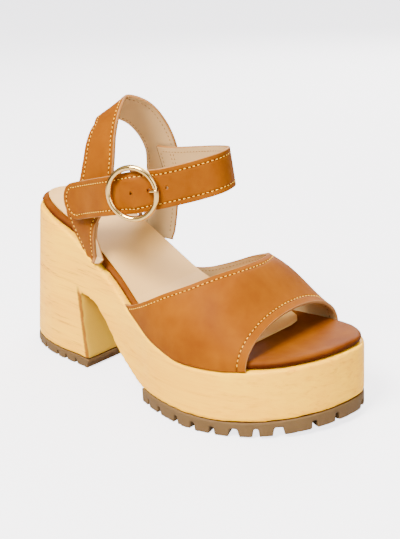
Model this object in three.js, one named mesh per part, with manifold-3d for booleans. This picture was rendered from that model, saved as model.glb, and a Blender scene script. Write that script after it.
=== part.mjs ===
import * as THREE from 'three';
import { mergeVertices } from 'three/addons/utils/BufferGeometryUtils.js';
import Module from 'manifold-3d';

const wasm = await Module();
wasm.setup();

// Platform sandal for the right foot, in millimetres.
// While it is built, x runs from the heel's back at the seat to the toe, y to the inner side,
// and z up from the floor.

// Sole
const soleLength = 236;
const ballWidth = 97;
const heelWidth = 57;
const heelHeight = 99;
const ballHeight = 38.7;
const toeSpring = 4.2;
const heelLean = 16.5;
const heelSpread = 2;
const archTop = 50.7;
const gap = 0.3;

// Outsoles
const foreTread = 8.6;
const heelTread = 6;
const lugDepth = 4.8;
const heelLugDepth = 3.6;
const grooveReach = 17;
const foreGrooveWidth = 3;
const heelGrooveWidth = 2;
const grooveFoot = 1.24;
const grooveRoof = 0.76;
const lugSetback = 2;

// Footbed and sock lining
const footbedThickness = 5;
const edgeMargin = 1.6;
const sockThickness = 0.9;
const sockMargin = 6.2;

// Vamp
const instepHeight = 73.6;
const vampWall = 2;
const vampMargin = 0.1;
const vampFoot = 2;
const ridgeShiftBack = 5.9;
const ridgeShiftFront = 2;
const sectionPower = 2.1;

// Straps and buckle
const strapTop = 164.5;
const slingWidth = 27.5;
const strapWidth = 22.5;
const strapWall = 2;
const ringRadius = 14;
const ringWire = 1.5;
const ringSlack = 0.7;
const barRadius = 1.1;
const barDrop = 5;
const prongRadius = 0.9;
const tabWall = 1.3;
const tabWidth = 15;
const holePitch = 10.5;
const holeRadius = 1.1;
const prongHole = 0.64;
const prongLeave = 0.34;
const prongUnder = 0.5;
const prongOverhang = 1.2;
const prongDroop = 0.2;
const barInset = 0.5;
const ribMargin = 0.03;
const strapHoles = [-1, 1];

// Turn of the prong's hook round the bar, in degrees
const hookStart = 120;
const hookEnd = 300;
const hookStep = 30;

// Stations that a loft has between two rows of its table
const slingStations = 4;
const tipStations = 8;
const buckleStations = 6;
const strapStations = 5;
const tabStations = 6;

// Places along the sole, as shares of its length
const heelRound = 0.2;
const outerToeStart = 0.7;
const innerToeStart = 0.82;
const breastAtFloor = 0.262;
const breastAtTop = 0.243;
const platformBack = 0.52;
const springStart = 0.75;

// Outline between heel and toe: how far each side has spread from heel width to ball width.
const outerBall = 0.545 * ballWidth;
const innerBall = 0.455 * ballWidth;
const toeTipSide = 0.16 * ballWidth;
const waist = [
  { along: 0.2, outer: 0, inner: 0 },
  { along: 0.3, outer: 0.12, inner: 0.0 },
  { along: 0.4, outer: 0.27, inner: 0.02 },
  { along: 0.5, outer: 0.55, inner: 0.2 },
  { along: 0.6, outer: 0.87, inner: 0.6 },
  { along: 0.7, outer: 1, inner: 0.9 },
  { along: 0.82, outer: 1, inner: 1 },
];

// Top of the wood: rise from ball to heel height.
const seatLine = [
  { along: 0, rise: 1 },
  { along: 0.06, rise: 0.99 },
  { along: 0.12, rise: 0.935 },
  { along: 0.2, rise: 0.83 },
  { along: 0.3, rise: 0.645 },
  { along: 0.4, rise: 0.425 },
  { along: 0.5, rise: 0.2 },
  { along: 0.6, rise: 0.07 },
  { along: 0.7, rise: 0 },
  { along: 1, rise: 0 },
];

// Arch under the waist, from the heel's breast to the platform's back corner, as a share of its full height.
const archLine = [
  { across: 0, height: 1 },
  { across: 0.2, height: 0.96 },
  { across: 0.4, height: 0.7 },
  { across: 0.6, height: 0.33 },
  { across: 0.8, height: 0.13 },
  { across: 1, height: 0 },
];

// Smooth curve through the rows of a table, level at both of its ends.
function smooth(rows, key, value) {
  const slope = rows.map((row, i) => {
    if (i === 0 || i === rows.length - 1) return 0;
    const before = (row[value] - rows[i - 1][value]) / (row[key] - rows[i - 1][key]);
    const after = (rows[i + 1][value] - row[value]) / (rows[i + 1][key] - row[key]);
    return before * after <= 0 ? 0 : (2 * before * after) / (before + after);
  });
  return (at) => {
    if (at <= rows[0][key]) return rows[0][value];
    const last = rows.length - 1;
    if (at >= rows[last][key]) return rows[last][value];
    const i = rows.findIndex((row) => row[key] > at) - 1;
    const span = rows[i + 1][key] - rows[i][key];
    const t = (at - rows[i][key]) / span;
    const rise = rows[i + 1][value] - rows[i][value];
    const bend = t * (1 - t) * ((1 - t) * slope[i] - t * slope[i + 1]) * span;
    return rows[i][value] + rise * t * t * (3 - 2 * t) + bend;
  };
}

const outerSpread = smooth(waist, 'along', 'outer');
const innerSpread = smooth(waist, 'along', 'inner');
const seatRise = smooth(seatLine, 'along', 'rise');
const archHeight = smooth(archLine, 'across', 'height');

function quarter(share) {
  return Math.sqrt(Math.max(0, 1 - share * share));
}

// Distance of the sole's two edges from the heel's centre line.
function outerEdge(x) {
  const s = x / soleLength;
  if (s < heelRound) return (heelWidth / 2) * quarter(1 - s / heelRound);
  if (s > outerToeStart) {
    return (outerBall + toeTipSide) * quarter((s - outerToeStart) / (1 - outerToeStart)) - toeTipSide;
  }
  return heelWidth / 2 + (outerBall - heelWidth / 2) * outerSpread(s);
}

function innerEdge(x) {
  const s = x / soleLength;
  if (s < heelRound) return (heelWidth / 2) * quarter(1 - s / heelRound);
  if (s > innerToeStart) {
    return (innerBall - toeTipSide) * quarter((s - innerToeStart) / (1 - innerToeStart)) + toeTipSide;
  }
  return heelWidth / 2 + (innerBall - heelWidth / 2) * innerSpread(s);
}

function spring(x) {
  const share = Math.max(0, (x / soleLength - springStart) / (1 - springStart));
  return toeSpring * share * share;
}

function woodTop(x) {
  return ballHeight + (heelHeight - ballHeight) * seatRise(x / soleLength) + spring(x);
}

// Stations along the sole, closer together where the heel and toe are round.
const stations = [];
for (let i = 1; i <= 8; i++) {
  stations.push(heelRound * soleLength * (1 - Math.cos((i / 8) * Math.PI / 2)));
}
for (let i = 1; i < 15; i++) {
  stations.push(soleLength * (heelRound + (outerToeStart - heelRound) * (i / 15)));
}
for (let i = 0; i < 11; i++) {
  stations.push(soleLength * (outerToeStart + (1 - outerToeStart) * Math.sin((i / 11) * Math.PI / 2)));
}

// The sole's edge as a loop: heel back, outer side, toe tip, inner side.
const edgeLoop = [
  new THREE.Vector2(0, 0),
  ...stations.map((x) => new THREE.Vector2(x, -outerEdge(x))),
  new THREE.Vector2(soleLength, toeTipSide),
  ...stations.map((x) => new THREE.Vector2(x, innerEdge(x))).reverse(),
];

// The loop moved in from the edge.
function insetLoop(distance) {
  return edgeLoop.map((point, i) => {
    const before = edgeLoop[(i + edgeLoop.length - 1) % edgeLoop.length];
    const after = edgeLoop[(i + 1) % edgeLoop.length];
    const along = after.clone().sub(before).normalize();
    const inward = new THREE.Vector2(-along.y, along.x);
    return point.clone().addScaledVector(inward, distance(point.x));
  });
}

// Turns a list of points and faces into a solid with its faces pointing out.
function solidFrom(points, faces) {
  const positions = new Float32Array(points.flatMap((p) => [p.x, p.y, p.z]));
  const raw = new THREE.BufferGeometry();
  raw.setAttribute('position', new THREE.BufferAttribute(positions, 3));
  raw.setIndex(faces);
  return solidOf(raw);
}

function solidOf(raw) {
  const bare = raw.clone();
  bare.deleteAttribute('normal');
  bare.deleteAttribute('uv');
  const merged = mergeVertices(bare, 1e-5);
  const place = merged.attributes.position;
  const index = merged.index.array;
  const faces = [];
  let volume = 0;
  const [a, b, c] = [new THREE.Vector3(), new THREE.Vector3(), new THREE.Vector3()];
  for (let i = 0; i < index.length; i += 3) {
    const [p, q, r] = [index[i], index[i + 1], index[i + 2]];
    if (p === q || q === r || r === p) continue;
    faces.push(p, q, r);
    a.fromBufferAttribute(place, p);
    b.fromBufferAttribute(place, q);
    c.fromBufferAttribute(place, r);
    volume += a.dot(b.cross(c));
  }
  const triVerts = new Uint32Array(volume > 0 ? faces : faces.reverse());
  const mesh = new wasm.Mesh({ numProp: 3, vertProperties: new Float32Array(place.array), triVerts });
  return new wasm.Manifold(mesh);
}

// Closed body through rings of matching points. Each end is closed straight across its ring.
function loft(rings) {
  const count = rings[0].length;
  const faces = [];
  const quad = (a, b, c, d) => faces.push(a, b, c, a, c, d);
  for (let r = 0; r + 1 < rings.length; r++) {
    for (let i = 0; i < count; i++) {
      const a = r * count + i;
      const b = r * count + ((i + 1) % count);
      quad(a, b, b + count, a + count);
    }
  }
  const last = (rings.length - 1) * count;
  for (let i = 0; i < count / 2; i++) {
    const across = (count - i) % count;
    quad(i, across, count - 1 - i, i + 1);
    quad(last + i, last + i + 1, last + count - 1 - i, last + across);
  }
  return solidFrom(rings.flat(), faces);
}

// Slab with the sole's outline; each level gives how far in its edge lies and its height.
function slab(levels) {
  return loft(levels.map(({ inset, height }) => (
    insetLoop(inset).map((p) => new THREE.Vector3(p.x, p.y, height(p.x)))
  )));
}

// Upright plate across the whole sole, with a side outline of [x, z] corners.
function sidePlate(corners) {
  const shape = new THREE.Shape(corners.map(([x, z]) => new THREE.Vector2(x, z)));
  const plate = new THREE.ExtrudeGeometry(shape, { depth: 4 * ballWidth, bevelEnabled: false });
  plate.rotateX(Math.PI / 2);
  plate.translate(0, 2 * ballWidth, 0);
  return solidOf(plate);
}

// The heel leans back and spreads towards the floor.
function heelShape(p) {
  const s = p.x / soleLength;
  const toBreast = Math.max(0, 1 - s / breastAtTop);
  const toPlatform = THREE.MathUtils.clamp((platformBack - s) / (platformBack - breastAtTop), 0, 1);
  const down = 1 - p.z / heelHeight;
  const spread = 1 + (heelSpread / (heelWidth / 2)) * down * toPlatform;
  return new THREE.Vector3(p.x - heelLean * toBreast * down, p.y * spread, p.z);
}

function footprint(fromZ, toZ) {
  return loft([fromZ, toZ].map((z) => edgeLoop.map((p) => heelShape(new THREE.Vector3(p.x, p.y, z)))));
}

function along(from, to, steps, height) {
  return Array.from({ length: steps + 1 }, (_, i) => {
    const x = from + ((to - from) * i) / steps;
    return [x, height(x)];
  });
}

// Clog sole: heel, arch and platform cut from one block
const beyond = 40;
const breastBottomX = breastAtFloor * soleLength;
const breastTopX = breastAtTop * soleLength;
const platformBackX = platformBack * soleLength;
const foreTop = (x) => foreTread + spring(x);
const archUnder = (x) => {
  const share = (x - breastTopX) / (platformBackX - breastTopX);
  return foreTread + gap + (archTop - foreTread - gap) * archHeight(share);
};
const sideOutline = [
  [-beyond, heelTread + gap],
  [breastBottomX, heelTread + gap],
  ...along(breastTopX, platformBackX, 14, archUnder),
  ...along(platformBackX + 1, soleLength + beyond / 4, 22, (x) => foreTop(x) + gap),
  ...along(soleLength + beyond / 4, -beyond, 84, woodTop),
];
const block = footprint(0, heelHeight + beyond);
const sole = block.intersect(sidePlate(sideOutline));

// Outsoles: a base sheet with lugs below it, cut apart by grooves from the edge.
// Side, place as a share of sole length, and width as a share of the groove width.
const foreGrooves = [
  { side: -1, along: 0.552, share: 0.73 },
  { side: -1, along: 0.603, share: 0.87 },
  { side: -1, along: 0.67, share: 0.93 },
  { side: -1, along: 0.725, share: 1 },
  { side: -1, along: 0.779, share: 1 },
  { side: -1, along: 0.831, share: 1.8 },
  { side: -1, along: 0.877, share: 1.13 },
  { side: -1, along: 0.918, share: 2 },
  { side: -1, along: 0.969, share: 1.13 },
  { side: -1, along: 0.991, share: 1 },
  { side: 1, along: 0.996, share: 1.13 },
  { side: 1, along: 0.968, share: 1 },
  { side: 1, along: 0.924, share: 2 },
  { side: 1, along: 0.872, share: 1.13 },
  { side: 1, along: 0.82, share: 1.8 },
  { side: 1, along: 0.762, share: 1 },
  { side: 1, along: 0.706, share: 1 },
  { side: 1, along: 0.65, share: 0.93 },
  { side: 1, along: 0.59, share: 0.87 },
];
const heelGrooves = [
  { side: -1, along: 0.012, share: 1 },
  { side: -1, along: 0.05, share: 1 },
  { side: -1, along: 0.094, share: 1.1 },
  { side: -1, along: 0.146, share: 1.1 },
  { side: -1, along: 0.177, share: 1 },
  { side: -1, along: 0.211, share: 1 },
  { side: 1, along: 0.03, share: 1 },
  { side: 1, along: 0.075, share: 1.1 },
  { side: 1, along: 0.125, share: 1.1 },
  { side: 1, along: 0.165, share: 1 },
  { side: 1, along: 0.205, share: 1 },
];

// Groove that runs in from the edge and narrows upwards.
function groove(row, width, depth, reach) {
  const x = row.along * soleLength;
  const foot = (grooveFoot * width * row.share) / 2;
  const roof = (grooveRoof * width * row.share) / 2;
  const edge = row.side < 0 ? outerEdge : innerEdge;
  const here = heelShape(new THREE.Vector3(x, row.side * edge(x), 0));
  const before = heelShape(new THREE.Vector3(x - 0.5, row.side * edge(x - 0.5), 0));
  const next = heelShape(new THREE.Vector3(x + 0.5, row.side * edge(x + 0.5), 0));
  const turn = Math.atan2(next.y - before.y, next.x - before.x);
  const shape = new THREE.Shape([
    new THREE.Vector2(-foot, -beyond),
    new THREE.Vector2(foot, -beyond),
    new THREE.Vector2(foot, 0),
    new THREE.Vector2(roof, depth + spring(x)),
    new THREE.Vector2(-roof, depth + spring(x)),
    new THREE.Vector2(-foot, 0),
  ]);
  const cut = new THREE.ExtrudeGeometry(shape, { depth: 2 * reach, bevelEnabled: false });
  cut.rotateX(Math.PI / 2);
  cut.translate(0, reach, 0);
  cut.rotateZ(turn);
  cut.translate(here.x, here.y, 0);
  return solidOf(cut);
}

const foreSheet = sidePlate([
  [platformBackX, -beyond],
  [soleLength + beyond, -beyond],
  ...along(soleLength + beyond / 4, platformBackX, 30, foreTop),
]);
const foreFloor = sidePlate([
  ...along(platformBackX - beyond, soleLength + beyond / 4, 30, spring),
  [soleLength + beyond / 4, heelHeight],
  [platformBackX - beyond, heelHeight],
]);
let foreSole = footprint(0, heelHeight).intersect(foreSheet).intersect(foreFloor);
for (const row of foreGrooves) {
  foreSole = foreSole.subtract(groove(row, foreGrooveWidth, lugDepth, grooveReach));
}
const heelSheet = sidePlate([
  [-beyond, 0],
  [breastBottomX, 0],
  [breastBottomX, heelTread],
  [-beyond, heelTread],
]);
let heelSole = footprint(0, heelHeight).intersect(heelSheet);
heelSole = heelSole.subtract(sidePlate([
  [breastBottomX - lugSetback, -beyond],
  [breastBottomX + beyond, -beyond],
  [breastBottomX + beyond, heelLugDepth],
  [breastBottomX - lugSetback, heelLugDepth],
]));
for (const row of heelGrooves) {
  heelSole = heelSole.subtract(groove(row, heelGrooveWidth, heelLugDepth, grooveReach / 2));
}

// Footbed with a rolled edge, in from the wood's edge and further in beside the vamp and the sling's ends
const marginLine = [
  { along: 0, extra: 0 },
  { along: 0.12, extra: 0 },
  { along: 0.21, extra: 1 },
  { along: 0.86, extra: 1 },
  { along: 0.93, extra: 0 },
];
const marginExtra = smooth(marginLine, 'along', 'extra');
const bandMargin = vampMargin + vampWall + 2 * gap;
const rollLine = [
  { inset: 1.5, height: 0 },
  { inset: 0.25, height: 0.3 },
  { inset: 0, height: 0.54 },
  { inset: 0.8, height: 0.8 },
  { inset: 2.2, height: 0.95 },
  { inset: 4, height: 1 },
];
const footbedMargin = (x) => edgeMargin + (bandMargin - edgeMargin) * marginExtra(x / soleLength);
const footbed = slab(rollLine.map((row) => ({
  inset: (x) => footbedMargin(x) + row.inset,
  height: (x) => woodTop(x) + gap + footbedThickness * row.height,
})));

// Sock lining, cut off in a round front under the toe opening
const sockFront = [
  { along: 0.6, outer: 0.54, inner: 0.46 },
  { along: 0.74, outer: 0.42, inner: 0.35 },
  { along: 0.775, outer: 0.36, inner: 0.305 },
  { along: 0.793, outer: 0.28, inner: 0.25 },
  { along: 0.8, outer: 0.17, inner: 0.17 },
];
const footbedTop = (x) => woodTop(x) + gap + footbedThickness;
const sockFull = slab([
  { inset: () => sockMargin, height: (x) => footbedTop(x) + gap },
  { inset: () => sockMargin, height: (x) => footbedTop(x) + gap + sockThickness },
]);
const sockShape = new THREE.Shape([
  new THREE.Vector2(-beyond, -ballWidth),
  ...sockFront.map((row) => new THREE.Vector2(row.along * soleLength, -row.outer * ballWidth)),
  ...sockFront.map((row) => new THREE.Vector2(row.along * soleLength, row.inner * ballWidth)).reverse(),
  new THREE.Vector2(-beyond, ballWidth),
]);
const sockRoom = new THREE.ExtrudeGeometry(sockShape, { depth: 2 * heelHeight, bevelEnabled: false });
const sock = sockFull.intersect(solidOf(sockRoom));

// Room of the sole: whatever stands on the wood's top is cut off here
const belowSeat = sidePlate([
  [-beyond, 0],
  [soleLength, 0],
  ...along(soleLength, -beyond, 64, (x) => woodTop(x) + gap),
]);

// Vamp: a band over the last's instep, from the wood's outer edge to its inner edge
const instepLine = [
  { along: 0.42, height: 1.04 },
  { along: 0.449, height: 1 },
  { along: 0.542, height: 0.885 },
  { along: 0.648, height: 0.776 },
  { along: 0.754, height: 0.639 },
  { along: 0.881, height: 0.305 },
];
const instep = smooth(instepLine, 'along', 'height');
const vampEdges = { outerBack: 0.457, innerBack: 0.431, throat: 0.753, throatPower: 0.85, front: 0.86 };

// Point of the last's surface at x, for an angle from the outer side (0) over the top to the inner side (pi).
function lastPoint(x, angle) {
  const outerSide = -outerEdge(x) + vampMargin;
  const innerSide = innerEdge(x) - vampMargin;
  const cosine = Math.cos(angle);
  const side = -Math.sign(cosine) * Math.abs(cosine) ** (2 / sectionPower);
  const height = instepHeight * instep(x / soleLength) * Math.sin(angle) ** (2 / sectionPower);
  const forward = (x / soleLength - vampEdges.innerBack) / (vampEdges.front - vampEdges.innerBack);
  const ridgeShift = THREE.MathUtils.lerp(ridgeShiftBack, ridgeShiftFront, forward);
  return new THREE.Vector3(
    x,
    (outerSide + innerSide) / 2 + ((innerSide - outerSide) / 2) * side + ridgeShift * (1 - side * side),
    woodTop(x) + gap + height,
  );
}

function lastNormal(x, angle) {
  const step = 0.02;
  const low = Math.min(Math.max(angle, step), Math.PI - step);
  const forward = lastPoint(x + 0.5, low).sub(lastPoint(x - 0.5, low));
  const over = lastPoint(x, low + step).sub(lastPoint(x, low - step));
  return forward.cross(over).normalize();
}

function vampBack(angle) {
  const side = THREE.MathUtils.lerp(vampEdges.outerBack, vampEdges.innerBack, angle / Math.PI);
  return soleLength * (side + (vampEdges.throat - side) * Math.sin(angle) ** vampEdges.throatPower);
}

const vampSteps = 9;
const vampSections = 40;
const vampRings = [];
for (let i = 0; i <= vampSections; i++) {
  const angle = (Math.PI * i) / vampSections;
  const back = vampBack(angle);
  const front = vampEdges.front * soleLength;
  const outside = [];
  const inside = [];
  for (let j = 0; j <= vampSteps; j++) {
    const x = back + ((front - back) * j) / vampSteps;
    const point = lastPoint(x, angle);
    const normal = lastNormal(x, angle);
    if (i === 0 || i === vampSections) {
      normal.setZ(0).normalize();
      point.z -= vampFoot;
    }
    outside.push(point);
    inside.push(point.clone().addScaledVector(normal, -vampWall));
  }
  vampRings.push([
    outside[0].clone().lerp(inside[0], 0.5).add(new THREE.Vector3(-0.5, 0, 0)),
    ...outside,
    outside[vampSteps].clone().lerp(inside[vampSteps], 0.5).add(new THREE.Vector3(0.5, 0, 0)),
    ...inside.reverse(),
  ]);
}
const vamp = loft(vampRings).subtract(belowSeat);

// Flat strap through rows with a centre, an across direction and a width.
// Steps counts the stations between two rows, ribs places more lines along it as shares of its half width.
function ribbon(rows, wall, steps, { roundStart = false, ribs = [], lift = () => 0 } = {}) {
  const path = new THREE.CatmullRomCurve3(rows.map((row) => row.centre), false, 'centripetal');
  const lay = new THREE.CatmullRomCurve3(rows.map((row) => row.across), false, 'centripetal');
  const wide = new THREE.CatmullRomCurve3(rows.map((row) => new THREE.Vector3(row.width, 0, 0)));
  const places = [0];
  for (let segment = 0; segment + 1 < rows.length; segment++) {
    for (let i = 1; i <= steps[segment]; i++) {
      const share = i / steps[segment];
      places.push((segment + (roundStart && segment === 0 ? share * share : share)) / (rows.length - 1));
    }
  }
  let gone = 0;
  return loft(places.map((t, k) => {
    const centre = path.getPoint(t);
    if (k > 0) gone += centre.distanceTo(path.getPoint(places[k - 1]));
    const tangent = path.getTangent(t);
    const across = lay.getPoint(t);
    across.addScaledVector(tangent, -across.dot(tangent)).normalize();
    const out = new THREE.Vector3().crossVectors(tangent, across).normalize();
    const full = wide.getPoint(t).x / 2;
    const half = roundStart ? full * Math.max(0.1, quarter(Math.max(0, 1 - gone / full))) : full;
    const at = (side, up) => {
      const point = centre.clone().addScaledVector(across, side);
      return point.addScaledVector(out, up + lift(point));
    };
    const shoulder = Math.max(half - wall / 3, half * 0.6);
    const lines = [-shoulder, ...ribs.map((rib) => rib * half), shoulder];
    return [
      at(-half, 0),
      ...lines.map((side) => at(side, wall / 2)),
      at(half, 0),
      ...lines.map((side) => at(side, -wall / 2)).reverse(),
    ];
  }));
}

// Heel sling, from its top to its ends: shares of sole length, ball width and strap height; lean in degrees.
const slingLine = [
  { outerAlong: 0.294, innerAlong: 0.294, side: 0, height: 1.0, lean: 29.5 },
  { outerAlong: 0.317, innerAlong: 0.32, side: 0.114, height: 0.976, lean: 28 },
  { outerAlong: 0.328, innerAlong: 0.338, side: 0.205, height: 0.908, lean: 19 },
  { outerAlong: 0.338, innerAlong: 0.344, side: 0.268, height: 0.819, lean: 8 },
  { outerAlong: 0.333, innerAlong: 0.328, side: 0.31, height: 0.724, lean: -6 },
  { outerAlong: 0.3, innerAlong: 0.303, side: 0.352, height: 0.638, lean: -21 },
];
const slingFoot = { outer: 0.301, inner: 0.311, outerWidth: 15, innerWidth: 24 };

function acrossOf(lean, turn) {
  const a = THREE.MathUtils.degToRad(lean);
  return new THREE.Vector3(Math.cos(a) * Math.cos(turn), Math.cos(a) * Math.sin(turn), Math.sin(a));
}

function slingRow(row, side) {
  return {
    centre: new THREE.Vector3(
      (side < 0 ? row.outerAlong : row.innerAlong) * soleLength,
      side * row.side * ballWidth,
      row.height * strapTop,
    ),
    across: acrossOf(row.lean, 0),
    width: slingWidth,
  };
}

// The sling's end stands on the wood's top, just inside its edge, in line with the edge.
function slingEnd(side, below) {
  const x = (side < 0 ? slingFoot.outer : slingFoot.inner) * soleLength;
  const edge = side < 0 ? outerEdge : innerEdge;
  const reach = slingWidth / 2;
  const turn = Math.atan2(side * (edge(x + reach) - edge(x - reach)), 2 * reach);
  const slope = Math.atan2(woodTop(x + reach) - woodTop(x - reach), 2 * reach);
  return {
    centre: new THREE.Vector3(x, side * (edge(x) - strapWall / 2), woodTop(x) - below),
    across: acrossOf(THREE.MathUtils.radToDeg(slope), turn),
    width: side < 0 ? slingFoot.outerWidth : slingFoot.innerWidth,
  };
}

const slingRows = [
  slingEnd(-1, 8),
  slingEnd(-1, -2),
  ...slingLine.slice(1).reverse().map((row) => slingRow(row, -1)),
  slingRow(slingLine[0], 1),
  ...slingLine.slice(1).map((row) => slingRow(row, 1)),
  slingEnd(1, -2),
  slingEnd(1, 8),
];
const slingSteps = slingRows.slice(1).map(() => slingStations);
const sling = ribbon(slingRows, strapWall, slingSteps).subtract(belowSeat);

// Ankle strap, from its round tip past the buckle and round the front to its sewn end.
// Lean is the slant of its upper edge towards the ankle, in degrees.
const strapTipLine = [
  { along: 0.255, side: -0.383, height: 0.675, lean: 2 },
  { along: 0.325, side: -0.398, height: 0.704, lean: 2 },
];
const buckle = { along: 0.517, side: -0.388, height: 0.77, lean: 3, turn: 23, rise: 10, flat: 17 };
const strapFrontLine = [
  { along: 0.634, side: -0.17, height: 0.806, lean: 6 },
  { along: 0.667, side: -0.035, height: 0.824, lean: 8 },
  { along: 0.651, side: 0.095, height: 0.827, lean: 8 },
  { along: 0.588, side: 0.185, height: 0.812, lean: 6 },
  { along: 0.5, side: 0.233, height: 0.792, lean: 9 },
  { along: 0.41, side: 0.257, height: 0.775, lean: 15 },
  { along: 0.347, side: 0.268, height: 0.77, lean: 20 },
];
const strapMiddle = new THREE.Vector3(0.45 * soleLength, 0, 0);

function strapRow(row) {
  const centre = new THREE.Vector3(row.along * soleLength, row.side * ballWidth, row.height * strapTop);
  const inward = strapMiddle.clone().sub(centre).setZ(0).normalize();
  const lean = THREE.MathUtils.degToRad(row.lean);
  const across = new THREE.Vector3(0, 0, Math.cos(lean)).addScaledVector(inward, Math.sin(lean));
  return { centre, across, width: strapWidth };
}

// The strap is flat where it runs through the buckle.
const buckleTurn = THREE.MathUtils.degToRad(buckle.turn);
const buckleRise = THREE.MathUtils.degToRad(buckle.rise);
const forwardAxis = new THREE.Vector3(Math.cos(buckleTurn), Math.sin(buckleTurn), Math.tan(buckleRise));
forwardAxis.normalize();
const flatRows = [-1, -0.5, 0, 0.5, 1].map((place) => {
  const row = strapRow(buckle);
  row.centre.addScaledVector(forwardAxis, place * buckle.flat);
  return row;
});
const strapRows = [...strapTipLine.map(strapRow), ...flatRows, ...strapFrontLine.map(strapRow)];
const buckleRow = strapTipLine.length + 2;
const tabStart = 1.1;
const tabEnd = 0.75;

// Frame of the buckle: x forward along the strap, y across it, z outward from the strap's centre line.
const bucklePath = new THREE.CatmullRomCurve3(strapRows.map((row) => row.centre), false, 'centripetal');
const acrossAxis = strapRows[buckleRow].across.clone();
acrossAxis.addScaledVector(forwardAxis, -acrossAxis.dot(forwardAxis)).normalize();
const outwardAxis = new THREE.Vector3().crossVectors(forwardAxis, acrossAxis).normalize();
const buckleFrame = new THREE.Matrix4().makeBasis(forwardAxis, acrossAxis, outwardAxis);
buckleFrame.setPosition(strapRows[buckleRow].centre);

// The ring lies over the strap; the strap rises over the bar and the tab's loop inside it.
const ringLevel = strapWall / 2 + ringSlack + ringWire;
const barLevel = ringLevel - barDrop;
const loopRadius = barRadius + gap + tabWall;
const ringInside = ringRadius - ringWire;
const strapRise = barLevel + loopRadius + gap + strapWall / 2;
const strapEdgeRise = barLevel + barRadius + gap + strapWall / 2;
const intoBuckle = buckleFrame.clone().invert();

function strapLift(point) {
  const local = point.clone().applyMatrix4(intoBuckle);
  const side = Math.abs(local.y);
  const reach = ringInside * quarter(Math.min(side, strapWidth / 2) / ringInside) - gap;
  if (Math.abs(local.x) >= reach || Math.abs(local.z) > ringRadius) return 0;
  const toEdge = THREE.MathUtils.clamp((side - tabWidth / 2) / (strapWidth / 2 - tabWidth / 2), 0, 1);
  const rise = THREE.MathUtils.lerp(strapRise, strapEdgeRise, toEdge);
  return rise * Math.cos((local.x / reach) * (Math.PI / 2)) ** 2;
}

const strapSteps = strapRows.slice(1).map((_, i) => {
  if (i === 0) return tipStations;
  return Math.abs(i + 0.5 - buckleRow) < 2 ? buckleStations : strapStations;
});
const ankleFull = ribbon(strapRows, strapWall, strapSteps, {
  roundStart: true,
  ribs: [-tabWidth / strapWidth - ribMargin, 0, tabWidth / strapWidth + ribMargin],
  lift: strapLift,
});

function inBuckleFrame(raw) {
  raw.applyMatrix4(buckleFrame);
  return solidOf(raw);
}

// Rod of round section through points of the buckle's middle plane.
function rod(points, radius) {
  const path = new THREE.CatmullRomCurve3(points.map(([x, z]) => new THREE.Vector3(x, 0, z)));
  const section = new THREE.Shape();
  section.absarc(0, 0, radius, 0, 2 * Math.PI);
  return new THREE.ExtrudeGeometry(section, {
    extrudePath: path,
    steps: 24,
    curveSegments: 4,
    bevelEnabled: false,
  });
}

// Buckle: round ring with a bar across its middle
const ringShape = new THREE.TorusGeometry(ringRadius, ringWire, 8, 44);
ringShape.translate(0, 0, ringLevel);
const barShape = new THREE.CylinderGeometry(barRadius, barRadius, 2 * (ringRadius - barInset), 12);
barShape.translate(0, 0, barLevel);
let ring = inBuckleFrame(ringShape).add(inBuckleFrame(barShape));
for (const end of [-1, 1]) {
  const post = new THREE.CylinderGeometry(barRadius, barRadius, barDrop + barRadius, 12);
  post.rotateX(Math.PI / 2);
  post.translate(0, end * (ringRadius - barInset), ringLevel - barDrop / 2 - barRadius / 2);
  ring = ring.add(inBuckleFrame(post));
}

// Prong: hooked round the bar, out through a hole of the strap and onto the ring
const hookRadius = barRadius + gap + prongRadius;
const prongPoints = [];
for (let degrees = hookStart; degrees <= hookEnd; degrees += hookStep) {
  const a = THREE.MathUtils.degToRad(degrees);
  prongPoints.push([hookRadius * Math.cos(a), barLevel + hookRadius * Math.sin(a)]);
}
const prongTip = ringLevel + ringWire + gap + prongRadius;
prongPoints.push([prongLeave * ringRadius, barLevel - hookRadius]);
prongPoints.push([prongUnder * ringRadius, barLevel]);
prongPoints.push([prongHole * ringRadius, strapWall / 2]);
prongPoints.push([ringInside - prongRadius, prongTip - prongRadius]);
prongPoints.push([ringRadius, prongTip]);
prongPoints.push([ringRadius + prongOverhang * ringWire, prongTip - prongDroop]);
const prong = inBuckleFrame(rod(prongPoints, prongRadius));
const prongRoom = inBuckleFrame(rod(prongPoints, prongRadius + gap));

// Buckle tab: wraps the bar and runs back under the strap to the sling
const tabLevel = -strapWall / 2 - gap - tabWall;
const tabShape = new THREE.Shape();
tabShape.absarc(0, barLevel, loopRadius, Math.PI, -Math.PI / 2, true);
tabShape.lineTo(-ringRadius, tabLevel - tabWall);
tabShape.lineTo(-ringRadius, tabLevel + tabWall);
tabShape.lineTo(-loopRadius, tabLevel + tabWall);
tabShape.closePath();
const barRoom = new THREE.Path();
barRoom.absarc(0, barLevel, barRadius + gap, 0, 2 * Math.PI);
tabShape.holes.push(barRoom);
const tabBody = new THREE.ExtrudeGeometry(tabShape, {
  depth: tabWidth,
  bevelEnabled: false,
  curveSegments: 12,
});
tabBody.rotateX(Math.PI / 2);
tabBody.translate(0, tabWidth / 2, 0);
const tabSlot = new THREE.BoxGeometry(4 * loopRadius, 2 * prongRadius + 4 * gap, 4 * loopRadius);
tabSlot.translate(loopRadius * 0.6, 0, barLevel);
const tabRows = [];
for (let i = 0; i <= tabStations; i++) {
  const t = THREE.MathUtils.lerp(buckleRow - tabStart, tabEnd, i / tabStations) / (strapRows.length - 1);
  const centre = bucklePath.getPoint(t);
  const out = new THREE.Vector3().crossVectors(bucklePath.getTangent(t), strapRows[buckleRow].across);
  centre.addScaledVector(out.normalize(), tabLevel);
  tabRows.push({ centre, across: strapRows[buckleRow].across, width: tabWidth });
}
const tabTail = ribbon(tabRows, 2 * tabWall, tabRows.slice(1).map(() => 2));
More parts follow.
